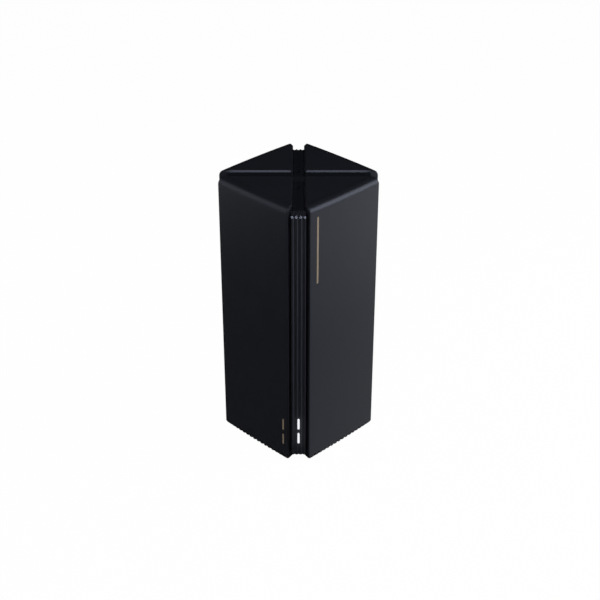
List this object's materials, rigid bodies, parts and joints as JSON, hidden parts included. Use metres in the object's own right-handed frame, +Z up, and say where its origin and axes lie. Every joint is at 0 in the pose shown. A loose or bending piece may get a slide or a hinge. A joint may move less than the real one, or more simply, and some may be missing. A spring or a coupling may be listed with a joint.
{
  "type": "mesh wifi node",
  "caption": "Free-standing black tower mesh Wi-Fi node: crowned side shells parted by a cross-shaped vent slot, ribbed corner strips, status lights, rear network sockets and pairing button.",
  "frame": {"origin": "on the floor, under the middle of the four feet", "axes": "+Z up; the lit front corner looks along -Y, the socket corner along +Y"},
  "size_m": [0.103, 0.103, 0.1913],
  "materials": {
    "shell": "satin soft-touch black, very fine texture",
    "strip": "moulded satin black, ribbed",
    "slot_floor": "matt black",
    "inner_plastic": "moulded dark grey",
    "base": "fine spark-eroded black",
    "rubber": "matt black rubber",
    "steel": "zinc plated",
    "panel": "fine matt black",
    "button": "smooth satin black",
    "board": "solder mask",
    "socket": "moulded black",
    "contact": "gold plated",
    "light": "frosted clear light guide, lit white",
    "aluminium": "extruded, plain",
    "thermal_pad": "soft silicone",
    "chip": "moulded epoxy",
    "tin": "tin plated",
    "antenna": "copper on laminate",
    "lead": "black coaxial jacket"
  },
  "bodies": {
    "housing": {"front_left_shell": "shell", "front_right_shell": "shell", "rear_left_shell": "shell", "rear_right_shell": "shell", "front_strip": "strip", "left_strip": "strip", "right_strip": "strip", "rear_strip": "strip", "vent_cross": "slot_floor", "core_frame": "inner_plastic", "base_cover": "base", "rubber_feet": "rubber", "base_screws": "steel", "port_panel": "panel", "panel_screws": "steel", "mesh_switch": "inner_plastic", "reset_switch": "inner_plastic", "main_board": "board", "board_screws": "steel", "lower_lan_jack": "socket", "middle_lan_jack": "socket", "upper_lan_jack": "socket", "jack_contacts": "contact", "dc_jack": "socket", "dc_pin": "steel", "led_board": "board", "status_leds": "light", "upper_light_pipe": "light", "lower_light_pipe": "light", "heat_sink": "aluminium", "heat_spreader": "aluminium", "thermal_pads": "thermal_pad", "sink_screws": "steel", "processor": "chip", "memory_chip": "chip", "low_band_shield": "tin", "high_band_shield": "tin", "line_transformers": "chip", "power_coils": "chip", "capacitors": "aluminium", "antenna_sockets": "contact", "front_left_antenna": "antenna", "front_right_antenna": "antenna", "rear_left_antenna": "antenna", "rear_right_antenna": "antenna", "front_left_lead": "lead", "front_right_lead": "lead", "rear_left_lead": "lead", "rear_right_lead": "lead"},
    "mesh_button": {"mesh_button": "button", "mesh_plunger": "inner_plastic"},
    "reset_button": {"reset_button": "button"}
  },
  "joints": [
    {"name": "mesh_button_press", "type": "slide", "parent": "housing", "child": "mesh_button", "axis": [0, -1, 0], "range_m": [0, 0.0007], "stiffness_N_per_m": 2000},
    {"name": "reset_button_press", "type": "slide", "parent": "housing", "child": "reset_button", "axis": [0, -1, 0], "range_m": [0, 0.0005], "stiffness_N_per_m": 2000}
  ]
}
